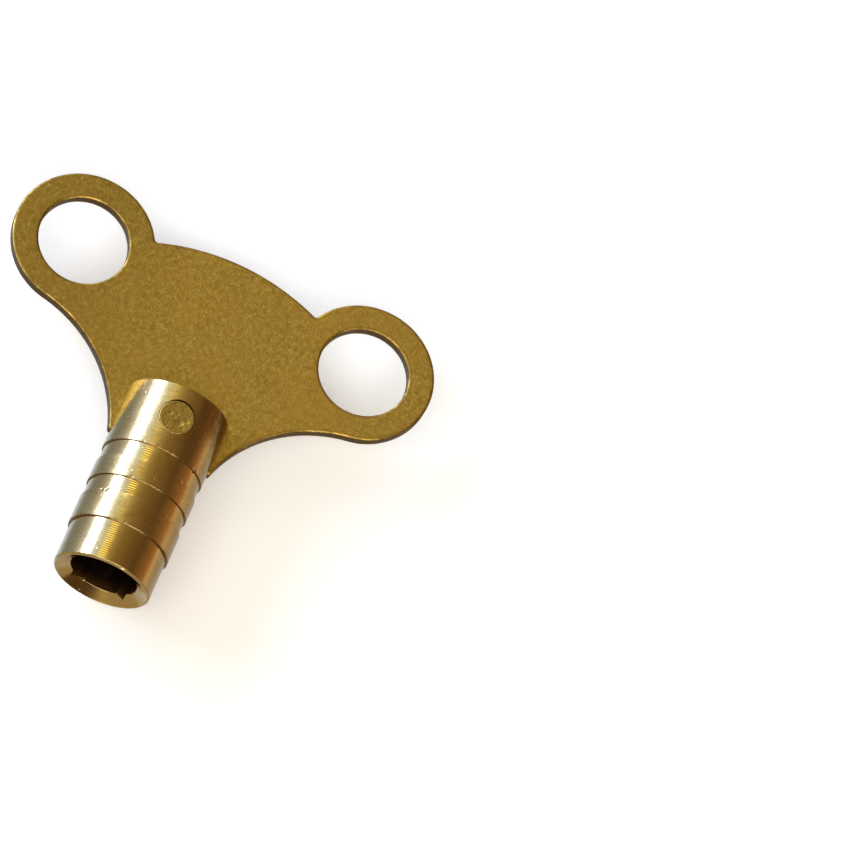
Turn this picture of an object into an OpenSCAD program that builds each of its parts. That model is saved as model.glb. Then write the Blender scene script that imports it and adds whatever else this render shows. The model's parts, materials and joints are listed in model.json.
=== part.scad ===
// Clock-type key for radiator bleed valves: a stamped wing plate stands in a slot across the top
// of a turned brass barrel, and one blind cross pin holds the two together.
// The key lies flat. The origin is on the barrel's axis in the plane of the socket's mouth, +Y runs
// along the barrel towards the wings, +X runs across the wings and +Z is the side that shows the pin.
// All sizes are in millimetres.

/* [Barrel] */
// Diameter of the bands and of the upper body
barrel_d = 9.6; // [9.4:0.1:10.4]
// Length from the mouth to the slotted end
barrel_length = 18.7; // [18.4:0.1:22]
// Diameter of the nose
nose_d = 9.2; // [9.1:0.05:9.3]
// Diameter of the two grooves
groove_d = 9.3; // [9:0.05:9.35]
// Length of the nose
nose_length = 4.0; // [3:0.1:4.5]
// Length of the band next to the nose
lower_band_length = 2.8; // [2:0.1:3]
// Length of the band between the grooves
upper_band_length = 2.1; // [1.6:0.1:2.3]
// Length of each groove
groove_length = 1.6; // [1:0.1:1.7]
// Chamfer on the outer edges of both ends
end_chamfer = 0.15; // [0.05:0.05:0.2]

/* [Socket] */
// Distance across the flats of the broached square
square_across_flats = 5.2; // [5.1:0.05:5.3]
// Depth of the square from the mouth
square_depth = 8; // [6:0.5:9]
// Diameter of the drilled hole
drill_d = 6.4; // [6.3:0.05:6.6]
// Depth of the drilled hole's straight wall from the mouth
drill_depth = 9.5; // [9.5:0.1:10.5]
// Diameter of the countersink at the mouth
countersink_d = 8.7; // [7.6:0.1:8.7]
// Included angle of the countersink
countersink_angle = 118; // [82:2:120]

/* [Wing plate] */
// Thickness of the sheet
wing_thickness = 1.1; // [0.8:0.1:1.5]
// Distance between the centres of the two ring holes
hole_spacing = 28; // [27.5:0.5:30]
// Distance from the mouth to the centres of the ring holes
hole_height = 29.5; // [29:0.5:31]
// Diameter of the ring holes
hole_d = 8.4; // [7:0.1:9]
// Outer diameter of the rings
ring_d = 13.2; // [12.8:0.1:14]
// Distance from the mouth to the middle of the top edge
crown_height = 34; // [33.5:0.1:34.5]
// Radius of the top edge
crown_r = 21; // [19:0.5:24]
// Radius of the hollow side edges
side_r = 13; // [12.5:0.1:13.5]
// Width of the stem at its bottom edge
stem_w = 10; // [9.8:0.1:10.6]
// Distance from the mouth to the stem's bottom edge
stem_bottom = 13.7; // [13.6:0.1:14]

/* [Slot and pin] */
// Clearance between the sheet and each side of the slot
slot_clearance = 0.03; // [0.02:0.01:0.1]
// Gap under the stem's bottom edge
slot_gap = 0.4; // [0.1:0.1:0.5]
// Diameter of the cross pin
pin_d = 3.2; // [2.6:0.1:3.4]
// Distance from the mouth to the centre of the pin's holes
pin_height = 15.6; // [15.6:0.1:16.4]
// Radial clearance of the pin in its holes
pin_clearance = 0.06; // [0.03:0.01:0.1]
// Depth of the pin's hole below the barrel's axis
pin_hole_depth = 3.2; // [2.4:0.1:3.8]

/* [Hidden] */
$fn = 96;
SIDES = [-1, 1];

barrel_r = barrel_d / 2;
nose_r = nose_d / 2;
groove_r = groove_d / 2;
countersink_r = countersink_d / 2;
drill_r = drill_d / 2;
pin_r = pin_d / 2;
ring_r = ring_d / 2;

lower_band_start = nose_length;
lower_groove_start = lower_band_start + lower_band_length;
upper_band_start = lower_groove_start + groove_length;
upper_groove_start = upper_band_start + upper_band_length;
body_start = upper_groove_start + groove_length;

cut_margin = 1;
countersink_slope = tan(countersink_angle / 2);
countersink_depth = (countersink_r - drill_r) / countersink_slope;
drill_point_angle = 118;
drill_point_length = drill_r / tan(drill_point_angle / 2);

slot_w = wing_thickness + 2 * slot_clearance;
slot_bottom = stem_bottom - slot_gap;

// The pin bears on the mouth side of its holes, so all the clearance is on the wings' side.
pin_centre = pin_height - pin_clearance;
pin_hole_r = pin_r + pin_clearance;
pin_flush = sqrt(barrel_r ^ 2 - (pin_r / 2) ^ 2);
pin_end_gap = 0.1;

// A side edge touches the ring's circle and ends at the stem's corner, so its centre is side_r from
// the corner and side_r + ring_r from the ring's centre.
ring_centre = [hole_spacing / 2, hole_height];
stem_corner = [stem_w / 2, stem_bottom];
to_corner = stem_corner - ring_centre;
corner_distance = norm(to_corner);
reach = ring_r + side_r;
along = (reach ^ 2 - side_r ^ 2 + corner_distance ^ 2) / (2 * corner_distance);
across = sqrt(reach ^ 2 - along ^ 2);
side_centre = ring_centre + (along * to_corner + across * [-to_corner.y, to_corner.x]) / corner_distance;
to_side = side_centre - ring_centre;

// The web's corner lies under the ring, just short of the point where the side edge and the ring's
// circle touch, so that the two outlines cross cleanly a few microns apart.
touch_setback = 2;
web_angle = atan2(to_side.y, to_side.x) - touch_setback;
web_corner = ring_centre + (ring_r + cut_margin) * [cos(web_angle), sin(web_angle)];

// Stands a solid of revolution up along the barrel's axis.
module along_barrel() {
    rotate([-90, 0, 0]) children();
}

// Half section of the turned blank: nose, two bands, two grooves and the upper body.
module barrel_section() {
    polygon([
        [0, 0],
        [nose_r - end_chamfer, 0],
        [nose_r, end_chamfer],
        [nose_r, lower_band_start],
        [barrel_r, lower_band_start],
        [barrel_r, lower_groove_start],
        [groove_r, lower_groove_start],
        [groove_r, upper_band_start],
        [barrel_r, upper_band_start],
        [barrel_r, upper_groove_start],
        [groove_r, upper_groove_start],
        [groove_r, body_start],
        [barrel_r, body_start],
        [barrel_r, barrel_length - end_chamfer],
        [barrel_r - end_chamfer, barrel_length],
        [0, barrel_length]
    ]);
}

// Half section of the socket before broaching: countersink, straight wall and drill point.
module socket_section() {
    polygon([
        [0, -cut_margin],
        [countersink_r + cut_margin * countersink_slope, -cut_margin],
        [drill_r, countersink_depth],
        [drill_r, drill_depth],
        [0, drill_depth + drill_point_length]
    ]);
}

// The broached square, with its flats parallel and square to the wing plate.
module square_broach() {
    translate([-square_across_flats / 2, -cut_margin, -square_across_flats / 2])
        cube([square_across_flats, square_depth + cut_margin, square_across_flats]);
}

// The slot that takes the wing plate.
module wing_slot() {
    translate([-barrel_d, slot_bottom, -slot_w / 2])
        cube([2 * barrel_d, barrel_length, slot_w]);
}

// A round cut for the cross pin, from below the axis out through the +Z side.
module pin_hole(r) {
    translate([0, pin_height, -pin_hole_depth]) cylinder(h = pin_hole_depth + barrel_d, r = r);
}

module barrel() {
    color([0.80, 0.62, 0.30])
    difference() {
        along_barrel() rotate_extrude() barrel_section();
        along_barrel() rotate_extrude() socket_section();
        square_broach();
        wing_slot();
        pin_hole(pin_hole_r);
    }
}

// Outline of the sheet between the rings, cut by the side edges and the crowned top edge.
module wing_web() {
    intersection() {
        difference() {
            polygon([
                stem_corner,
                web_corner,
                ring_centre,
                [ring_centre.x, crown_height],
                [-ring_centre.x, crown_height],
                [-ring_centre.x, ring_centre.y],
                [-web_corner.x, web_corner.y],
                [-stem_corner.x, stem_corner.y]
            ]);
            for (side = SIDES) translate([side * side_centre.x, side_centre.y]) circle(r = side_r);
        }
        translate([0, crown_height - crown_r]) circle(r = crown_r);
    }
}

module wing_plate() {
    color([0.68, 0.54, 0.24])
    difference() {
        translate([0, 0, -wing_thickness / 2]) linear_extrude(wing_thickness) {
            wing_web();
            for (side = SIDES) translate([side * ring_centre.x, ring_centre.y]) circle(r = ring_r);
        }
        for (side = SIDES) translate([side * ring_centre.x, ring_centre.y, -wing_thickness])
            cylinder(h = 2 * wing_thickness, d = hole_d);
        pin_hole(pin_hole_r);
    }
}

module cross_pin() {
    pin_bottom = pin_end_gap - pin_hole_depth;
    color([0.72, 0.58, 0.30])
    translate([0, pin_centre, pin_bottom]) cylinder(h = pin_flush - pin_bottom, r = pin_r);
}

barrel();
wing_plate();
cross_pin();
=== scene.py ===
"""A brass radiator bleed key on a pale floor.

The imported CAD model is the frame. Its three nodes are stood in for by finer meshes of the same shape and
size: a turned barrel with softened edges, a stamped wing plate with rolled edges and a dented pin end.
Lengths are in millimetres until mesh() turns them into metres.
"""

import json
import math
import random

import bmesh
import bpy
import numpy as np
from mathutils import Matrix, Vector, noise
from mathutils.geometry import delaunay_2d_cdt


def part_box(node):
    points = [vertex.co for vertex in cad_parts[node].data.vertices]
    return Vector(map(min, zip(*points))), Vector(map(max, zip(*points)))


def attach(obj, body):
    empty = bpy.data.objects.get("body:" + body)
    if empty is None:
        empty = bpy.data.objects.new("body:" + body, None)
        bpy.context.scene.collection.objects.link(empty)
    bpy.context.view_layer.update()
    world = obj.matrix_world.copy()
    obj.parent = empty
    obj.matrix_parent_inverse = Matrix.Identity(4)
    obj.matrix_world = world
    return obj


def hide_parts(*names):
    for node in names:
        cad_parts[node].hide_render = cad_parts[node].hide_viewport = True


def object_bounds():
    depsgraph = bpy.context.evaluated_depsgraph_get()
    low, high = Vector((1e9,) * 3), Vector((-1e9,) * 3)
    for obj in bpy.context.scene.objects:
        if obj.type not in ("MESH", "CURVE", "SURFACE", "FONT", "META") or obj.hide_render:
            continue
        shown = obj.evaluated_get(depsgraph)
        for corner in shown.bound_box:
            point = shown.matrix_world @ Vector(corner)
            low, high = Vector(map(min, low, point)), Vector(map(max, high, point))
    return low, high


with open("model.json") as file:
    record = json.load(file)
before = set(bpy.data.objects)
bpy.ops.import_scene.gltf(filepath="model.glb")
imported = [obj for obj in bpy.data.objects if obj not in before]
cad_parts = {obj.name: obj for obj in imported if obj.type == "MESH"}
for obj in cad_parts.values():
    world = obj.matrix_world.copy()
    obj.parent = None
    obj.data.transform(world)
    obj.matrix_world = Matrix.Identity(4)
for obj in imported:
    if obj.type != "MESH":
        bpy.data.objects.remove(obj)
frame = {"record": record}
cad_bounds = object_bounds()
MM = 0.001
TURN = 2 * math.pi
SIDES = (-1, 1)
random.seed(7)


# ---------------------------------------------------------------- sizes, from the frame
def size_mm(node):
    """The lowest corner, the highest corner and the size of a CAD node, in millimetres."""
    low, high = (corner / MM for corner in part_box(node))
    return low, high, high - low


def mount(name):
    """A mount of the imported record."""
    return next(m for m in frame["record"]["mounts"] if m["name"] == name)


_, barrel_high, barrel_size = size_mm("barrel")
wing_low, wing_high, wing_size = size_mm("wing_plate")
pin_low, pin_high, pin_size = size_mm("cross_pin")

BARREL_R = barrel_size.x / 2
BARREL_LENGTH = barrel_high.y
DRILL_R = mount("socket")["dims"]["r_mm"]
HOLE_R = mount("right_ring_hole")["dims"]["r_mm"]
RING_CENTRE = Vector(mount("right_ring_hole")["pos_m"][:2]) / MM
RING_R = min(wing_high.x - RING_CENTRE.x, wing_high.y - RING_CENTRE.y)
WING_T = wing_size.z
STEM_BOTTOM = wing_low.y
PIN_R = pin_size.x / 2
PIN_CENTRE_Y = (pin_low.y + pin_high.y) / 2

# The barrel's turned steps, measured from the mouth. The last band is the upper body.
NOSE_R = 4.6
GROOVE_R = 4.65
BAND_STARTS = (4.0, 8.4, 12.1)
BAND_ENDS = (6.8, 10.5, BARREL_LENGTH)
BODY_START = BAND_STARTS[-1]
STEP_ROUNDING = 0.03
RIM_ROUNDING = 0.04
END_CHAMFER = 0.15

# The socket. The drill's point and the countersink have the same angle.
POINT_SLOPE = math.tan(math.radians(118 / 2))
COUNTERSINK_R = 4.35
COUNTERSINK_DEPTH = (COUNTERSINK_R - DRILL_R) / POINT_SLOPE
DRILL_DEPTH = 9.5
DRILL_POINT = DRILL_R / POINT_SLOPE
SQUARE_HALF = 2.6
SQUARE_DEPTH = 8.0

# The pitch and the depth of the lathe's tool marks, and the length over which they fade in and out.
TOOL_MARKS = (0.21, 0.015)
COUNTERSINK_MARKS = (0.16, 0.011)
MARKS_FADE = 0.15

# The slot and the pin's hole.
SLOT_GAP = 0.4
SLOT_CLEARANCE = 0.03
PIN_CLEARANCE = 0.06
PIN_END_GAP = 0.1
SLOT_BOTTOM = STEM_BOTTOM - SLOT_GAP
SLOT_HALF = WING_T / 2 + SLOT_CLEARANCE
PIN_HOLE_R = PIN_R + PIN_CLEARANCE
PIN_HOLE_Y = PIN_CENTRE_Y + PIN_CLEARANCE
PIN_HOLE_BOTTOM = pin_low.z - PIN_END_GAP

# How far the cutters run out past the barrel.
CUT_MARGIN = 1.0

# The wing plate's outline.
CROWN_R = 21.0
CROWN_HEIGHT = 34.0
SIDE_R = 13.0
STEM_HALF = 5.0
STEM_CORNER_R = 0.3
NOTCH_R = 0.35


# ---------------------------------------------------------------- mesh helpers
def mesh(name, verts, faces):
    """A new object in the row frame from points in millimetres."""
    data = bpy.data.meshes.new(name)
    data.from_pydata([Vector(v) * MM for v in verts], [], faces)
    data.validate()
    piece = bpy.data.objects.new(name, data)
    bpy.context.scene.collection.objects.link(piece)
    return piece


def shade(piece, sharp_deg=35):
    """Smooth shading that breaks at the edges sharper than sharp_deg, with the normals pointing out."""
    bm = bmesh.new()
    bm.from_mesh(piece.data)
    bmesh.ops.recalc_face_normals(bm, faces=bm.faces)
    for face in bm.faces:
        face.smooth = True
    for edge in bm.edges:
        edge.smooth = edge.calc_face_angle(0) < math.radians(sharp_deg)
    bm.to_mesh(piece.data)
    bm.free()


def rounded(before, corner, after, radius, steps=4):
    """The points that round one corner of an outline off."""
    to_before, to_after = (before - corner).normalized(), (after - corner).normalized()
    reach = radius / math.tan(to_before.angle(to_after) / 2)
    start, end = corner + to_before * reach, corner + to_after * reach
    ways = [i / steps for i in range(steps + 1)]
    return [start.lerp(corner, t).lerp(corner.lerp(end, t), t) for t in ways]


def graded(start, end, first=0.03, growth=1.9, widest=0.55):
    """Points along a straight run, closest together near its ends so that smooth shading stays flat."""
    length = (end - start).length
    steps, reach, step = [], 0.0, first
    while reach + step < length / 2:
        reach += step
        steps.append(reach)
        step = min(step * growth, widest)
    stops = [0.0, *steps, *(length - d for d in reversed(steps)), length]
    return [start.lerp(end, d / length) for d in stops]


def tool_marks(start, end, pitch, depth):
    """Points along a straight run, with the shallow, uneven grooves that the feed of a lathe tool leaves.
    Each one deepens slowly and comes back up in a short slope."""
    length = (end - start).length
    side = (end - start) / length
    outward = Vector((side.y, -side.x))
    shape = (0.0, 0.18, 0.38, 0.58, 0.78, 0.60)
    count = round(length / pitch) * len(shape)
    points = []
    for i in range(count + 1):
        along = length * i / count
        fade = max(0, min(1, along / MARKS_FADE, (length - along) / MARKS_FADE))
        uneven = 0.80 + 0.4 * noise.noise((start.x + along * 1.7, start.y, 0))
        points.append(start + side * along - outward * depth * fade * uneven * shape[i % len(shape)])
    return points


def turned_outline(corners):
    """An open outline from (radius, y, rounding, marks) corners. marks is the pitch and depth of the tool
    marks on the run that follows a corner, or None."""
    at = [Vector(corner[:2]) for corner in corners]
    arcs = [[at[0]], *(rounded(*at[i - 1 : i + 2], corners[i][2]) for i in range(1, len(at) - 1)), [at[-1]]]
    out = [at[0]]
    for corner, arc_before, arc_after in zip(corners, arcs, arcs[1:]):
        start, end, marks = arc_before[-1], arc_after[0], corner[3]
        run = tool_marks(start, end, *marks) if marks else graded(start, end)
        out += run[1:-1] + arc_after
    return out


def revolve(name, section, segments=300):
    """A solid turned about the Y axis from (radius, y) points that start and end on the axis."""
    verts, rings, faces = [], [], []
    for r, y in section:
        ring = [len(verts)] if r < 1e-6 else list(range(len(verts), len(verts) + segments))
        angles = [0] if r < 1e-6 else [TURN * i / segments for i in range(segments)]
        verts += [(r * math.cos(a), y, r * math.sin(a)) for a in angles]
        rings.append(ring)
    for a, b in zip(rings, rings[1:]):
        for i in range(segments):
            j = (i + 1) % segments
            quad = [a[i % len(a)], a[j % len(a)], b[j % len(b)], b[i % len(b)]]
            faces.append(list(dict.fromkeys(quad)))
    return mesh(name, verts, faces)


def box_cutter(low, high):
    """A closed box for cutting, between two corners."""
    xs, ys, zs = zip(low, high)
    verts = [(x, y, z) for x in xs for y in ys for z in zs]
    faces = [(0, 1, 3, 2), (4, 6, 7, 5), (0, 4, 5, 1), (2, 3, 7, 6), (0, 2, 6, 4), (1, 5, 7, 3)]
    return mesh("cutter", verts, faces)


def round_cutter(centre_y, rings, segments=96):
    """A closed round cutter along Z. rings is a list of (radius, z), from its lowest to its highest."""
    verts = [
        (r * math.cos(TURN * i / segments), centre_y + r * math.sin(TURN * i / segments), z)
        for r, z in rings
        for i in range(segments)
    ]
    faces = [list(range(segments))[::-1]]
    for k in range(len(rings) - 1):
        for i in range(segments):
            j = (i + 1) % segments
            low, high = k * segments, (k + 1) * segments
            faces.append([low + i, low + j, high + j, high + i])
    faces.append([(len(rings) - 1) * segments + i for i in range(segments)])
    return mesh("cutter", verts, faces)


def cut(piece, cutters):
    """Subtracts each cutter from the piece and removes it."""
    for cutter in cutters:
        modifier = piece.modifiers.new("cut", "BOOLEAN")
        modifier.operation = "DIFFERENCE"
        modifier.solver = "EXACT"
        modifier.object = cutter
        bpy.context.view_layer.update()
        depsgraph = bpy.context.evaluated_depsgraph_get()
        result = bpy.data.meshes.new_from_object(piece.evaluated_get(depsgraph))
        piece.modifiers.clear()
        piece.data = result
        bpy.data.objects.remove(cutter)


# ---------------------------------------------------------------- barrel
def barrel_section():
    """The half section of the barrel, from the bottom of the drilled hole out to the slotted end."""
    corners = [
        (0.0, DRILL_DEPTH + DRILL_POINT, 0.0, None),
        (DRILL_R, DRILL_DEPTH, 0.05, None),
        (DRILL_R, COUNTERSINK_DEPTH, STEP_ROUNDING, COUNTERSINK_MARKS),
        (COUNTERSINK_R, 0.0, 0.02, None),
        (NOSE_R - END_CHAMFER, 0.0, STEP_ROUNDING, None),
        (NOSE_R, END_CHAMFER, STEP_ROUNDING, TOOL_MARKS),
    ]
    inner = STEP_ROUNDING / 2
    for below, start, end in zip((NOSE_R, GROOVE_R, GROOVE_R), BAND_STARTS, BAND_ENDS):
        corners += [(below, start, inner, None), (BARREL_R, start, STEP_ROUNDING, None)]
        corners += [(BARREL_R, end, STEP_ROUNDING, None), (GROOVE_R, end, inner, TOOL_MARKS)]
    corners[-2:] = [
        (BARREL_R, BARREL_LENGTH - END_CHAMFER, RIM_ROUNDING, None),
        (BARREL_R - END_CHAMFER, BARREL_LENGTH, RIM_ROUNDING, None),
        (0.0, BARREL_LENGTH, 0.0, None),
    ]
    return turned_outline(corners)


def nick(piece, count):
    """Knocks small dents into the barrel's step edges, the rim of its mouth and the lip of the socket. Each
    edge is its radius, its distance from the mouth, and 1 where the metal lies inside that radius or -1
    where it lies outside."""
    steps = [(BARREL_R, y, 1) for y in BAND_STARTS + BAND_ENDS[:2]]
    edges = [(NOSE_R, END_CHAMFER / 2, 1), *steps, (DRILL_R, COUNTERSINK_DEPTH, -1)]
    points = np.empty(3 * len(piece.data.vertices))
    piece.data.vertices.foreach_get("co", points)
    points = points.reshape(-1, 3) / MM
    for _ in range(count):
        r, y, inward = random.choice(edges)
        a, width, depth = random.uniform(0, TURN), random.uniform(0.07, 0.19), random.uniform(0.02, 0.08)
        centre = np.array([r * math.cos(a), y, r * math.sin(a)])
        push = np.array([-math.cos(a) * inward, random.uniform(-0.4, 0.4), -math.sin(a) * inward])
        apart = np.linalg.norm(points - centre, axis=1)
        points += np.outer(depth * np.exp(-((apart / width) ** 2)), push)
    points[:, 1] = points[:, 1].clip(0, BARREL_LENGTH)
    piece.data.vertices.foreach_set("co", (points * MM).ravel())


def make_barrel():
    """The turned barrel with its broached corners, its slot and the blind hole for the pin."""
    barrel = revolve("turned_barrel", barrel_section())
    square = [-SQUARE_HALF, -CUT_MARGIN, -SQUARE_HALF], [SQUARE_HALF, SQUARE_DEPTH, SQUARE_HALF]
    slot = [-2 * BARREL_R, SLOT_BOTTOM, -SLOT_HALF], [2 * BARREL_R, BARREL_LENGTH + CUT_MARGIN, SLOT_HALF]
    pin_hole = [(PIN_HOLE_R, PIN_HOLE_BOTTOM), (PIN_HOLE_R, BARREL_R + CUT_MARGIN)]
    cut(barrel, [box_cutter(*square), box_cutter(*slot), round_cutter(PIN_HOLE_Y, pin_hole)])
    nick(barrel, 110)
    shade(barrel)
    mark_finish(barrel)
    return barrel


def ramp(value, start, end):
    """How far a value is on the way from start to end, between 0 and 1."""
    return max(0.0, min(1.0, (value - start) / (end - start)))


def painted_shade_on_body(x, y, z):
    """Painted shade on the body's +X side: a dark streak along it, and the shade that the wing plate casts
    on it.
    """
    if y < BODY_START or math.hypot(x, z) < BARREL_R - 0.2:
        return 0.0
    turn = math.degrees(math.atan2(abs(z), x))
    streak = 0.65 * min(ramp(turn, 40, 56), ramp(turn, 74, 58))
    patch = 0.95 * ramp(turn, 64, 50) * ramp(turn, -15, 30) * ramp(y, 14.6, 16.4)
    return max(streak, patch)


def mark_finish(barrel):
    """Gives the socket its own material, painted dark as shade, and marks the freshly turned brass and where
    shade is painted: in the corners under the steps and on the body's +X side.
    """
    skin, corner_reach = 0.08, 0.09
    beside, beyond, above_cone = 0.02, 0.1, 0.05
    socket_r = SQUARE_HALF * math.sqrt(2) + beside
    socket_end = DRILL_DEPTH + DRILL_POINT + beyond
    barrel.data.materials.clear()
    barrel.data.materials.append(turned_brass())
    barrel.data.materials.append(socket_painted_shade())
    for face in barrel.data.polygons:
        x, y, z = face.center / MM
        r = math.hypot(x, z)
        on_countersink = y < (COUNTERSINK_R - r) / POINT_SLOPE + above_cone
        in_socket = r < socket_r and y < socket_end
        face.material_index = 1 if in_socket and not on_countersink else 0
    fresh, painted_shade = [], []
    for vertex in barrel.data.vertices:
        x, y, z = vertex.co / MM
        r = math.hypot(x, z)
        fresh.append(1.0 if r < BARREL_R - skin else 0.0)
        off_step = max(0, NOSE_R - r, r - (BARREL_R - STEP_ROUNDING))
        corner = min(math.hypot(off_step, y - start) for start in BAND_STARTS)
        # Painted shade: 1 in the corners under the steps, where shade falls, and on the body's +X side.
        painted_shade.append(max(0.0, 1.0 - corner / corner_reach, painted_shade_on_body(x, y, z)))
    barrel.data.attributes.new("fresh", "FLOAT", "POINT").data.foreach_set("value", fresh)
    barrel.data.attributes.new("painted_shade", "FLOAT", "POINT").data.foreach_set("value", painted_shade)


# ---------------------------------------------------------------- wing plate
def circles_meet(centre_a, r_a, centre_b, r_b, left):
    """The point where two circles cross, on the left or the right of the way from a to b."""
    way = centre_b - centre_a
    gap = way.length
    along = (r_a**2 - r_b**2 + gap**2) / (2 * gap)
    across = math.sqrt(r_a**2 - along**2) * (1 if left else -1)
    way = way / gap
    return centre_a + way * along + Vector((-way.y, way.x)) * across


def bearing(start, end):
    """The direction from start to end, in radians."""
    way = end - start
    return math.atan2(way.y, way.x)


def arc(centre, r, start, end, clockwise=False, spacing=0.11):
    """Points along an arc, its end left out."""
    sweep = (start - end) % TURN if clockwise else (end - start) % TURN
    count = max(3, round(abs(sweep) * r / spacing))
    sign = -1 if clockwise else 1
    angles = [start + sign * sweep * i / count for i in range(count)]
    return [centre + Vector((math.cos(a), math.sin(a))) * r for a in angles]


def wing_outline():
    """The plate's outline, counter-clockwise, from the middle of the stem's bottom edge."""
    stem_corner = Vector((STEM_HALF, STEM_BOTTOM))
    side = circles_meet(RING_CENTRE, RING_R + SIDE_R, stem_corner, SIDE_R, True)
    corner_y = STEM_BOTTOM + STEM_CORNER_R
    corner_x = side.x - math.sqrt((SIDE_R + STEM_CORNER_R) ** 2 - (corner_y - side.y) ** 2)
    corner = Vector((corner_x, corner_y))
    crown = Vector((0, CROWN_HEIGHT - CROWN_R))
    notch = circles_meet(crown, CROWN_R + NOTCH_R, RING_CENTRE, RING_R + NOTCH_R, True)
    stops = 40
    half = [Vector((corner_x * i / stops, STEM_BOTTOM)) for i in range(1, stops)]
    half += arc(corner, STEM_CORNER_R, -math.pi / 2, bearing(corner, side), spacing=0.05)
    half += arc(side, SIDE_R, bearing(side, corner), bearing(side, RING_CENTRE), clockwise=True)
    half += arc(RING_CENTRE, RING_R, bearing(RING_CENTRE, side), bearing(RING_CENTRE, notch))
    from_ring, to_crown = bearing(notch, RING_CENTRE), bearing(notch, crown)
    half += arc(notch, NOTCH_R, from_ring, to_crown, clockwise=True, spacing=0.05)
    half += arc(crown, CROWN_R, bearing(crown, notch), math.pi / 2)
    left = [Vector((-p.x, p.y)) for p in reversed(half)]
    return [Vector((0, STEM_BOTTOM)), *half, Vector((0, CROWN_HEIGHT)), *left]


def inward(loop):
    """The unit direction into the metal at each point of a loop that has the metal on its left."""
    out = []
    for i, point in enumerate(loop):
        way = loop[(i + 1) % len(loop)] - loop[i - 1]
        out.append(Vector((-way.y, way.x)).normalized())
    return out


def edge_levels():
    """(inset, z, wear) from the flat of the +Z face over the edge to the flat of the -Z face. Wear is 1 on
    a rubbed edge, where sheet_brass() paints dark patches as shade, and -1 on the sheared wall, which it
    paints dark as shade. The die drew the +Z edge down in a soft roll and left the other edge tighter."""
    top, bottom = WING_T / 2, -WING_T / 2
    roll_w, roll_h = 0.25, 0.13
    back_w, back_h = 0.08, 0.07
    levels = [(0.75, top, 0.0), (0.42, top, 0.0), (0.33, top - 0.003, 0.1)]
    for i in range(6):
        a = math.radians(90) * i / 5
        levels.append((roll_w * (1 - math.sin(a)), top - roll_h * (1 - math.cos(a)), 0.3 + 0.14 * i))
    levels += [(0.004, 0.36, -0.6), (0.006, 0.12, -1.0), (0.0, 0.04, -1.0)]
    levels += [(0.014, -0.02, -1.0), (0.010, -0.34, -1.0)]
    for i in range(5):
        a = math.radians(90) * (1 - i / 4)
        levels.append((back_w * (1 - math.sin(a)), bottom + back_h * (1 - math.cos(a)), 1.0 - 0.2 * i))
    levels += [(0.16, bottom, 0.0), (0.5, bottom, 0.0)]
    return levels


def inside(points, loop):
    """Which of the points lie inside a closed loop."""
    x, y = points[:, 0], points[:, 1]
    result = np.zeros(len(points), bool)
    for (x0, y0), (x1, y1) in zip(loop, np.roll(loop, -1, axis=0)):
        crosses = (y0 > y) != (y1 > y)
        with np.errstate(divide="ignore", invalid="ignore"):
            result ^= crosses & (x < (x1 - x0) * (y - y0) / (y1 - y0) + x0)
    return result


def grid_inside(loops, spacing):
    """A loose grid of points between an outer loop and its holes, clear of both."""
    row_height, clearance = 0.87 * spacing, 0.45 * spacing
    low, high = loops[0].min(0), loops[0].max(0)
    grid = np.array([
        (x + (row % 2) * spacing / 2, y)
        for row, y in enumerate(np.arange(low[1], high[1], row_height))
        for x in np.arange(low[0], high[0], spacing)
    ])
    keep = between(grid, loops)
    for loop in loops:
        for point in loop[::2]:
            keep &= np.hypot(*(grid - point).T) > clearance
    return grid[keep]


def between(points, loops):
    """Which of the points lie inside the first loop and outside the others."""
    result = inside(points, loops[0])
    for hole in loops[1:]:
        result &= ~inside(points, hole)
    return result


def cap(loops, spacing=0.9):
    """Triangles that fill the flat between an outer loop and its holes. Gives the points, the triangles and
    how many of the points belong to the loops."""
    loops = [np.array([p[:] for p in loop]) for loop in loops]
    points, edges = [], []
    for loop in loops:
        first = len(points)
        points += [Vector(p) for p in loop]
        edges += [(first + i, first + (i + 1) % len(loop)) for i in range(len(loop))]
    border = len(points)
    points += [Vector(p) for p in grid_inside(loops, spacing)]
    found, _, faces, *_ = delaunay_2d_cdt(points, edges, [], 0, 1e-6)
    middles = np.array([sum((found[i] for i in face), Vector((0, 0))) / 3 for face in faces])
    return found, [face for face, good in zip(faces, between(middles, loops)) if good], border


def wing_loops():
    """The plate's outline and its three holes, each with the metal on its left."""
    rings = [Vector((side * RING_CENTRE.x, RING_CENTRE.y)) for side in SIDES]
    almost_round = TURN - 1e-9
    holes = [arc(centre, HOLE_R, 0, almost_round) for centre in rings]
    holes.append(arc(Vector((0, PIN_HOLE_Y)), PIN_HOLE_R, 0, almost_round))
    return [wing_outline(), *(hole[::-1] for hole in holes)]


def plate(loops, levels):
    """Points, wear and faces of a plate whose edges follow the levels. Its flats are slightly hollow."""
    hollow, per_mm = 0.008, 0.25
    verts, wear_and_shade, faces, rims = [], [], [], {0: [], len(levels) - 1: []}
    for loop in loops:
        normals, starts = inward(loop), []
        for k, (inset, z, worn) in enumerate(levels):
            ring = [p + n * inset for p, n in zip(loop, normals)]
            starts.append(len(verts))
            if k in rims:
                rims[k].append(ring)
            verts += [(*p, z) for p in ring]
            wear_and_shade += [worn] * len(loop)
        for a, b in zip(starts, starts[1:]):
            for i in range(len(loop)):
                j = (i + 1) % len(loop)
                faces.append((a + i, b + i, b + j, a + j))
    for k, flat in rims.items():
        found, triangles, border = cap(flat)
        z, first = levels[k][1], len(verts)
        for i, p in enumerate(found):
            sink = 0 if i < border else hollow * (noise.noise((p.x * per_mm, p.y * per_mm, z)) - 0.6)
            verts.append((p.x, p.y, z + sink * math.copysign(1, z)))
            wear_and_shade.append(0.0)
        faces += [tuple(first + i for i in t) for t in triangles]
    return verts, wear_and_shade, faces


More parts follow.
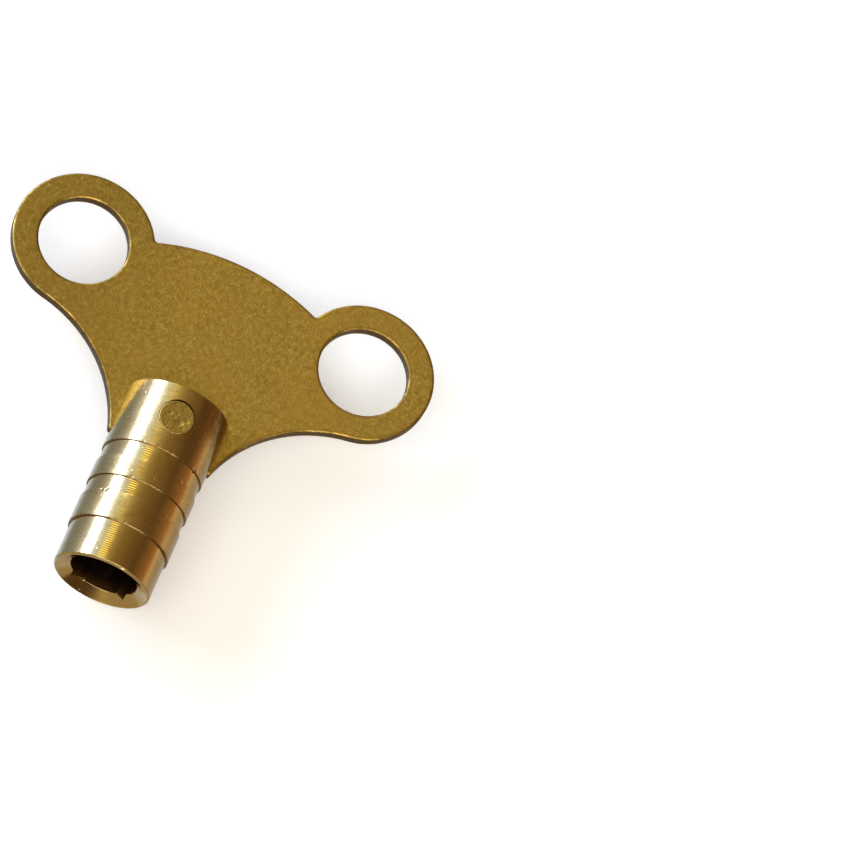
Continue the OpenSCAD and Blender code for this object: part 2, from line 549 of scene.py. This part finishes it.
def make_wing():
    """The stamped plate: two rings, a crowned web and a stem, with its edges rolled by the die."""
    verts, wear_and_shade, faces = plate(wing_loops(), edge_levels())
    wing = mesh("stamped_wing", verts, faces)
    wing.data.attributes.new("wear_and_shade", "FLOAT", "POINT").data.foreach_set("value", wear_and_shade)
    bm = bmesh.new()
    bm.from_mesh(wing.data)
    bmesh.ops.remove_doubles(bm, verts=bm.verts, dist=0.002 * MM)
    bm.to_mesh(wing.data)
    bm.free()
    shade(wing, 50)
    wing.data.materials.append(sheet_brass())
    return wing


# ---------------------------------------------------------------- cross pin
def pin_dents(count=16):
    """Small dents in the pin's end, as (x, y, width, depth) from its middle."""
    dents = []
    for _ in range(count):
        a, r = random.uniform(0, TURN), PIN_R * 0.85 * math.sqrt(random.random())
        width, depth = random.uniform(0.14, 0.42), random.uniform(0.008, 0.030)
        dents.append((r * math.cos(a), r * math.sin(a), width, depth))
    return dents


def make_pin():
    """The cross pin. Its shown end was cut off and dressed flat, which left small dents in it."""
    segments, rings = 96, 30
    round_edge, foot_chamfer = 0.06, 0.15
    top, foot = pin_high.z, pin_low.z
    dents = pin_dents()

    def end_height(x, y):
        drop = sum(d * math.exp(-2 * ((x - u) ** 2 + (y - v) ** 2) / w**2) for u, v, w, d in dents)
        rim = max(0, math.hypot(x, y) - (PIN_R - round_edge)) / round_edge
        return top - drop - round_edge * (1 - math.sqrt(max(0, 1 - rim**2)))

    verts = [(0, PIN_CENTRE_Y, end_height(0, 0))]
    levels = [(PIN_R * (1 - (1 - k / rings) ** 1.6), None) for k in range(1, rings + 1)]
    levels += [(PIN_R, top - 0.6), (PIN_R, foot + foot_chamfer), (PIN_R - foot_chamfer, foot)]
    for r, z in levels:
        for i in range(segments):
            x, y = r * math.cos(TURN * i / segments), r * math.sin(TURN * i / segments)
            verts.append((x, PIN_CENTRE_Y + y, end_height(x, y) if z is None else z))
    faces = [(0, 1 + i, 1 + (i + 1) % segments) for i in range(segments)]
    for k in range(len(levels) - 1):
        a, b = 1 + k * segments, 1 + (k + 1) * segments
        for i in range(segments):
            j = (i + 1) % segments
            faces.append((a + i, b + i, b + j, a + j))
    last = 1 + (len(levels) - 1) * segments
    faces.append([last + i for i in range(segments)])
    pin = mesh("dressed_pin", verts, faces)
    shade(pin, 50)
    pin.data.materials.append(pin_brass())
    return pin


# ---------------------------------------------------------------- materials
class Nodes:
    """Short calls for the nodes of one node tree. A node given as a value stands for its first output."""

    def __init__(self, tree):
        self.tree = tree

    def node(self, kind, inputs=None, **settings):
        made = self.tree.nodes.new("ShaderNode" + kind)
        for key, value in settings.items():
            setattr(made, key, value)
        for key, value in (inputs or {}).items():
            self.set(made, key, value)
        return made

    def set(self, made, key, value):
        if isinstance(value, bpy.types.Node):
            value = value.outputs[0]
        if isinstance(value, bpy.types.NodeSocket):
            self.tree.links.new(value, made.inputs[key])
        else:
            made.inputs[key].default_value = value

    def math(self, operation, a, b=0.0, c=0.0):
        return self.node("Math", {0: a, 1: b, 2: c}, operation=operation).outputs[0]

    def span(self, value, low, high, to_low=0.0, to_high=1.0, kind="LINEAR"):
        """value taken from low..high to to_low..to_high, clamped."""
        inputs = {"Value": value, "From Min": low, "From Max": high, "To Min": to_low, "To Max": to_high}
        return self.node("MapRange", inputs, interpolation_type=kind).outputs["Result"]

    def blend(self, share, a, b):
        """Value a where share is 0 and b where it is 1."""
        return self.node("Mix", {0: share, 2: a, 3: b}, data_type="FLOAT").outputs[0]

    def mix(self, share, a, b, blend="MIX"):
        """Colour a where share is 0 and b where it is 1."""
        made = self.node("Mix", data_type="RGBA", blend_type=blend)
        for key, value in ((0, share), (6, a), (7, b)):
            self.set(made, key, (*value, 1) if isinstance(value, tuple) else value)
        return made.outputs[2]


class Shader(Nodes):
    """A material of brass. Its patterns lie in the row frame, in millimetres."""

    def __init__(self, name):
        self.material = bpy.data.materials.new(name)
        self.material.use_nodes = True
        super().__init__(self.material.node_tree)
        self.surface = self.tree.nodes["Principled BSDF"]

    def place(self, stretch, turn=(0, 0, 0)):
        """Object coordinates in millimetres, turned and then scaled along each axis."""
        coordinates = self.node("TexCoord").outputs["Object"]
        inputs = {"Vector": coordinates, "Rotation": turn}
        turned = self.node("VectorRotate", inputs, rotation_type="EULER_XYZ")
        scale = [s / MM for s in stretch]
        return self.node("VectorMath", {0: turned, 1: scale}, operation="MULTIPLY")

    def around(self, per_mm, round_mm=0.0):
        """Coordinates that change with the radius and along the axis, and only a little round the axis."""
        split = self.node("SeparateXYZ", {0: self.node("TexCoord").outputs["Object"]})
        flat = self.node("CombineXYZ", {"X": split.outputs["X"], "Z": split.outputs["Z"]})
        radius = self.node("VectorMath", {0: flat}, operation="LENGTH").outputs["Value"]
        out = self.node("CombineXYZ", {"X": radius, "Y": split.outputs["Y"]})
        out = self.node("VectorMath", {0: out, 1: [per_mm / MM] * 3}, operation="MULTIPLY")
        drift = self.node("VectorMath", {0: flat, 1: [round_mm / MM] * 3}, operation="MULTIPLY")
        return self.node("VectorMath", {0: out, 1: drift}, operation="ADD")

    def noise(self, place, detail=2.0, rough=0.5):
        """Noise from 0 to 1. place is a coordinate, or how many features lie in a millimetre."""
        if not isinstance(place, bpy.types.Node):
            place = self.place((place, place, place))
        inputs = {"Vector": place, "Scale": 1.0, "Detail": detail, "Roughness": rough}
        return self.node("TexNoise", inputs).outputs["Fac"]

    def object_axis(self, axis):
        """One of the object coordinates, in metres."""
        return self.node("SeparateXYZ", {0: self.node("TexCoord").outputs["Object"]}).outputs[axis]

    def attribute(self, name):
        return self.node("Attribute", attribute_name=name).outputs["Fac"]

    def bump(self, height, depth_mm, normal=None):
        inputs = {"Height": height, "Distance": depth_mm * MM, "Strength": 1.0}
        if normal is not None:
            inputs["Normal"] = normal
        return self.node("Bump", inputs).outputs["Normal"]

    def hairs(self, turn, length, width, share):
        """Scattered straight scratches along one direction: 1 on a scratch and 0 off it."""
        threads = self.noise(self.place((1 / length, 1 / width, 1 / length), (0, 0, turn)), detail=1.0)
        patches = self.noise(self.place((0.3, 0.3, 0.3), (0.5, 0, turn)), detail=1.0)
        keep = self.span(patches, 0.66 - share, 0.70 - share)
        return self.math("MULTIPLY", self.span(threads, 0.68, 0.74), keep)

    def finish(self, colour, roughness, normal, **fixed):
        self.set(self.surface, "Base Color", colour)
        self.set(self.surface, "Roughness", roughness)
        self.set(self.surface, "Normal", normal)
        for key, value in {"Metallic": 1.0, **fixed}.items():
            self.surface.inputs[key].default_value = value
        return self.material


def turned_brass():
    """Brass straight off the lathe: bright where it is freshly turned and duller on the bar's own skin,
    with fine rings on every turned face, a few stains and pits, and painted shade under the steps and on the
    body's +X side."""
    s = Shader("turned_brass")
    fresh = s.attribute("fresh")
    painted_shade = s.attribute("painted_shade")
    fine = s.noise(s.around(9.0, 0.25), detail=3.0, rough=0.6)
    broad = s.noise(s.around(1.6, 0.12), detail=2.0)
    cloud = s.noise(0.5, detail=4.0, rough=0.6)
    mottle = s.noise(2.4, detail=3.0, rough=0.7)
    stain = s.noise(0.9, detail=3.0)
    pit = s.span(s.noise(2.6, detail=1.0), 0.735, 0.775)
    skin = s.blend(fresh, 1.0, 0.35)
    colour = s.mix(s.span(cloud, 0.3, 0.7), (0.80, 0.62, 0.30), (0.84, 0.67, 0.35))
    streaks = s.math("MULTIPLY", skin, s.span(fine, 0.48, 0.78, 0.0, 0.9))
    colour = s.mix(streaks, colour, (0.60, 0.42, 0.17))
    blotches = s.math("MULTIPLY", skin, s.span(mottle, 0.52, 0.68, 0.0, 0.55))
    colour = s.mix(blotches, colour, (0.62, 0.43, 0.17))
    colour = s.mix(s.span(stain, 0.60, 0.74, 0.0, 0.45), colour, (0.64, 0.43, 0.17))
    # Painted shade: the corners under the steps and the body's +X side turn dark brown.
    painted_dark = s.math("MULTIPLY", painted_shade, s.span(mottle, 0.3, 0.7, 0.55, 0.85))
    colour = s.mix(painted_dark, colour, (0.13, 0.07, 0.025))
    dull = s.span(fine, 0.3, 0.7, 0.14, 0.24)
    bright = s.span(fine, 0.3, 0.7, 0.09, 0.15)
    roughness = s.blend(fresh, dull, bright)
    roughness = s.math("ADD", roughness, s.span(cloud, 0.35, 0.7, -0.02, 0.05))
    normal = s.bump(fine, 0.0036)
    normal = s.bump(broad, 0.010, normal)
    normal = s.bump(s.math("MULTIPLY", mottle, skin), 0.011, normal)
    normal = s.bump(pit, -0.008, normal)
    s.set(s.surface, "Tangent", s.node("Tangent", direction_type="RADIAL", axis="Y"))
    return s.finish(colour, roughness, normal, Anisotropic=0.2)


def socket_painted_shade():
    """The socket's walls: cut along the barrel by the broach, and painted dark as the shade in the bore,
    darker the deeper they lie and in blotches. The object's Y is the depth from the mouth."""
    s = Shader("socket_painted_shade")
    cuts = s.noise(s.place((4.0, 0.3, 4.0)), detail=3.0)
    painted_shade = s.noise(1.2, detail=4.0)
    depth = s.object_axis("Y")
    # Painted shade: lighter brown at the lip and near black deeper in. The same noise also varies the
    # roughness.
    share = s.math("ADD", s.span(depth, 0.5 * MM, 2.0 * MM), s.span(painted_shade, 0.3, 0.7, -0.2, 0.3))
    colour = s.mix(s.span(share, 0.0, 1.0), (0.34, 0.165, 0.056), (0.050, 0.026, 0.015))
    roughness = s.span(painted_shade, 0.3, 0.7, 0.3, 0.5)
    return s.finish(colour, roughness, s.bump(cuts, 0.012))


def sheet_brass():
    """Dull rolled sheet: a blotchy grain, painted shade that darkens it towards the -X ring, scratches every
    way, bright specks, rolled edges painted dark in patches as shade that breaks up their highlight and
    smoother where rubbed, and sheared walls painted dark as shade."""
    s = Shader("sheet_brass")
    wear_and_shade = s.attribute("wear_and_shade")
    grain = s.noise(4.2, detail=3.0, rough=0.8)
    mottle = s.noise(1.9, detail=4.0, rough=0.75)
    stain = s.noise(0.13, detail=3.0)
    colour = s.mix(s.span(mottle, 0.36, 0.62), (0.515, 0.332, 0.053), (0.845, 0.655, 0.185))
    colour = s.mix(s.span(grain, 0.40, 0.60, 0.0, 0.85), colour, (0.435, 0.275, 0.043))
    colour = s.mix(s.span(stain, 0.42, 0.70, 0.0, 0.42), colour, (0.68, 0.415, 0.075))
    # Painted shade: the plate darkens towards the -X ring, where the light falls off.
    painted_falloff = s.span(s.object_axis("X"), -3 * MM, -13 * MM, 0.0, 0.24)
    colour = s.mix(painted_falloff, colour, (0.2, 0.2, 0.2), "MULTIPLY")
    marks = 0.0
    for turn, length, width in ((0.5, 9.0, 0.11), (-0.9, 6.0, 0.10), (2.2, 7.0, 0.13), (1.3, 5.0, 0.11)):
        marks = s.math("ADD", marks, s.hairs(turn, length, width, 0.14))
    dark = s.math("ADD", s.hairs(1.9, 4.5, 0.13, 0.16), s.hairs(-0.3, 4.0, 0.13, 0.14))
    specks = s.span(s.noise(s.place((3.0, 3.0, 3.0), (0.4, 0.2, 1.0)), detail=1.0), 0.71, 0.75)
    colour = s.mix(s.math("MULTIPLY", marks, 0.5), colour, (0.80, 0.62, 0.22))
    colour = s.mix(s.math("MULTIPLY", dark, 0.45), colour, (0.18, 0.115, 0.03))
    colour = s.mix(s.math("MULTIPLY", specks, 0.6), colour, (0.90, 0.74, 0.34))
    # Painted shade on the rolled edges: their colour turns dark in patches, which breaks up the highlight
    # along them. Where it stays brass-coloured, the edge is also rubbed smoother.
    worn = s.span(s.noise(0.55, detail=3.0, rough=0.7), 0.42, 0.62)
    edge = s.span(wear_and_shade, 0.1, 0.8)
    wall = s.span(wear_and_shade, -0.1, -0.6)
    colour = s.mix(edge, colour, s.mix(worn, (0.200, 0.125, 0.030), (0.62, 0.42, 0.11)))
    # Painted shade: the sheared walls turn near black.
    colour = s.mix(s.math("MULTIPLY", wall, 0.85), colour, (0.110, 0.072, 0.030))
    roughness = s.span(grain, 0.3, 0.7, 0.38, 0.54)
    roughness = s.math("SUBTRACT", roughness, s.math("MULTIPLY", s.math("MULTIPLY", edge, worn), 0.16))
    roughness = s.math("SUBTRACT", roughness, s.math("MULTIPLY", marks, 0.12))
    normal = s.bump(mottle, 0.030)
    normal = s.bump(grain, 0.024, normal)
    normal = s.bump(marks, -0.004, normal)
    return s.finish(colour, roughness, normal)


def pin_brass():
    """The pin's end: brighter brass with a blotchy grain and light scuffs."""
    s = Shader("pin_brass")
    grain = s.noise(5.5, detail=3.0, rough=0.85)
    mottle = s.noise(1.6, detail=3.0, rough=0.7)
    scuff = s.hairs(0.7, 1.2, 0.12, 0.16)
    colour = s.mix(s.span(mottle, 0.3, 0.7), (0.72, 0.55, 0.16), (0.99, 0.84, 0.42))
    colour = s.mix(s.span(grain, 0.36, 0.64, 0.0, 0.7), colour, (0.42, 0.29, 0.07))
    colour = s.mix(s.math("MULTIPLY", scuff, 0.6), colour, (0.74, 0.58, 0.34))
    roughness = s.span(grain, 0.3, 0.7, 0.18, 0.34)
    normal = s.bump(mottle, 0.03)
    return s.finish(colour, roughness, s.bump(grain, 0.022, normal))


# ---------------------------------------------------------------- studio
def make_floor():
    """A plain pale floor under the barrel. The brass doesn't mirror it: make_world() stands in for it."""
    half = 1.5
    z = cad_bounds[0][2]
    data = bpy.data.meshes.new("floor")
    corners = [(-half, -half, z), (half, -half, z), (half, half, z), (-half, half, z)]
    data.from_pydata(corners, [], [(0, 1, 2, 3)])
    floor = bpy.data.objects.new("floor", data)
    bpy.context.scene.collection.objects.link(floor)
    floor.visible_glossy = False
    s = Shader("pale_floor")
    s.surface.inputs["Base Color"].default_value = (0.87, 0.89, 0.92, 1)
    s.surface.inputs["Roughness"].default_value = 0.9
    s.surface.inputs["Specular IOR Level"].default_value = 0.0
    s.surface.inputs["Emission Color"].default_value = (1.0, 1.0, 1.0, 1)
    s.surface.inputs["Emission Strength"].default_value = 0.28
    data.materials.append(s.material)


# What the barrel sees round its axis: the light at each angle in degrees, from level on the +X side over
# the top.
ROOM = (
    (0, (0.36, 0.170, 0.058)),
    (18, (0.22, 0.110, 0.044)),
    (38, (0.110, 0.064, 0.026)),
    (66, (0.180, 0.108, 0.037)),
    (90, (0.27, 0.185, 0.060)),
    (108, (0.47, 0.38, 0.17)),
    (116, (0.54, 0.47, 0.28)),
    (124, (0.58, 0.58, 0.45)),
    (136, (0.72, 0.85, 1.05)),
    (162, (0.78, 0.90, 1.20)),
    (176, (0.50, 0.54, 0.68)),
    (188, (0.31, 0.31, 0.34)),
    (211, (0.22, 0.25, 0.27)),
    (226, (0.25, 0.30, 0.38)),
    (248, (0.70, 0.82, 1.10)),
    (290, (0.47, 0.46, 0.49)),
    (306, (0.40, 0.37, 0.35)),
    (323, (0.36, 0.30, 0.25)),
    (340, (0.42, 0.33, 0.22)),
    (351, (0.60, 0.43, 0.26)),
)


def make_world():
    """Soft studio light. A dim warm room fades into a cool window side with a tall white softbox. The front
    is warm, with a shaded corner, a golden patch, a second softbox and a pale table. A small golden lamp
    catches the tool marks. The eye sees a pale backdrop."""
    world = bpy.data.worlds.new("studio")
    bpy.context.scene.world = world
    world.use_nodes = True
    s = Nodes(world.node_tree)
    direction = s.node("TexCoord").outputs["Generated"]
    split = s.node("SeparateXYZ", {0: direction})
    along = split.outputs["Y"]
    angle = s.math("ARCTAN2", split.outputs["Z"], split.outputs["X"])
    angle = s.math("FRACT", s.math("ADD", s.math("DIVIDE", angle, TURN), 1.0))
    room = s.node("ValToRGB", {0: angle})
    elements = room.color_ramp.elements
    elements[0].position, elements[0].color = 0, (*ROOM[0][1], 1)
    elements[1].position, elements[1].color = 1, (*ROOM[0][1], 1)
    for degrees, colour in ROOM[1:]:
        elements.new(degrees / 360).color = (*colour, 1)

    def window(value, low, high, soft):
        """1 between low and high and 0 outside, with soft borders."""
        rise = s.span(value, low - soft, low + soft, kind="SMOOTHSTEP")
        fall = s.span(value, high - soft, high + soft, kind="SMOOTHSTEP")
        return s.math("SUBTRACT", rise, fall)

    def lamp(before, low, high, start, end, soft, colour):
        """Adds a lamp between two angles round the barrel and two heights of the direction along it."""
        around_axis = window(angle, low / 360, high / 360, soft / 360)
        shape = s.math("MULTIPLY", around_axis, window(along, start, end, 0.03))
        return s.mix(shape, before, s.mix(1.0, before, colour, "ADD"))

    def spot(before, towards, inner, outer, colour):
        """Light or shade round one direction, full within the inner angle and gone at the outer one."""
        facing = s.node("VectorMath", {0: direction, 1: towards}, operation="DOT_PRODUCT").outputs["Value"]
        gone, full = math.cos(math.radians(outer)), math.cos(math.radians(inner))
        share = s.span(facing, gone, full, kind="SMOOTHSTEP")
        return s.mix(share, before, colour)

    front = s.span(along, 0.10, -0.40, kind="SMOOTHSTEP")
    light = s.mix(front, room.outputs[0], (0.36, 0.275, 0.16))
    shaded_corner = (0.35, -0.91, -0.21)
    light = spot(light, shaded_corner, 18, 27, (0.085, 0.047, 0.020))
    golden_patch = (-0.17, -0.980, -0.08)
    light = spot(light, golden_patch, 4, 10, (0.56, 0.41, 0.14))
    tall_softbox = (4.6, 5.4, 7.2)
    light = lamp(light, 143.5, 164, -0.15, 0.80, 3, tall_softbox)
    golden_lamp = (1.25, 1.00, 0.09)
    light = lamp(light, 107, 125, 0.475, 0.80, 3, golden_lamp)
    front_softbox = (2.7, 2.6, 2.4)
    light = lamp(light, 50, 130, -0.85, -0.30, 10, front_softbox)
    pale_table = (0.09, 0.13, 0.19)
    light = lamp(light, 235, 308, -0.50, -0.28, 6, pale_table)
    background = world.node_tree.nodes["Background"]
    s.set(background, "Color", light)
    backdrop = s.node("Background", {"Color": (0.86, 0.86, 0.85, 1)})
    seen = s.node("LightPath").outputs["Is Camera Ray"]
    shown = s.node("MixShader", {0: seen, 1: background, 2: backdrop})
    s.set(world.node_tree.nodes["World Output"], "Surface", shown)


def make_camera():
    """A long lens that looks down at the key from the mouth's side, turned so that the wings rise to the
    right. It is aimed beside the key, which therefore lies in the left half of the picture."""
    aim = Vector((21.28, 27.51, 0)) * MM
    azimuth, elevation, roll = (math.radians(a) for a in (9.53, 64.10, -33.88))
    distance, lens, sensor = 0.725, 337.24, 36
    forward = Vector((
        math.sin(azimuth) * math.cos(elevation),
        math.cos(azimuth) * math.cos(elevation),
        -math.sin(elevation),
    ))
    data = bpy.data.cameras.new("camera")
    data.sensor_width = sensor
    data.lens = lens
    data.clip_start, data.clip_end = 0.05, 20
    camera = bpy.data.objects.new("camera", data)
    bpy.context.scene.collection.objects.link(camera)
    turn = forward.to_track_quat("-Z", "Y").to_matrix().to_4x4() @ Matrix.Rotation(-roll, 4, "Z")
    camera.matrix_world = Matrix.Translation(aim - forward * distance) @ turn
    bpy.context.scene.camera = camera


bpy.context.scene.view_settings.view_transform = "Standard"
make_camera()
make_world()
make_floor()
for maker, node in ((make_barrel, "barrel"), (make_wing, "wing_plate"), (make_pin, "cross_pin")):
    piece = maker()
    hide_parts(node)
    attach(piece, "root")
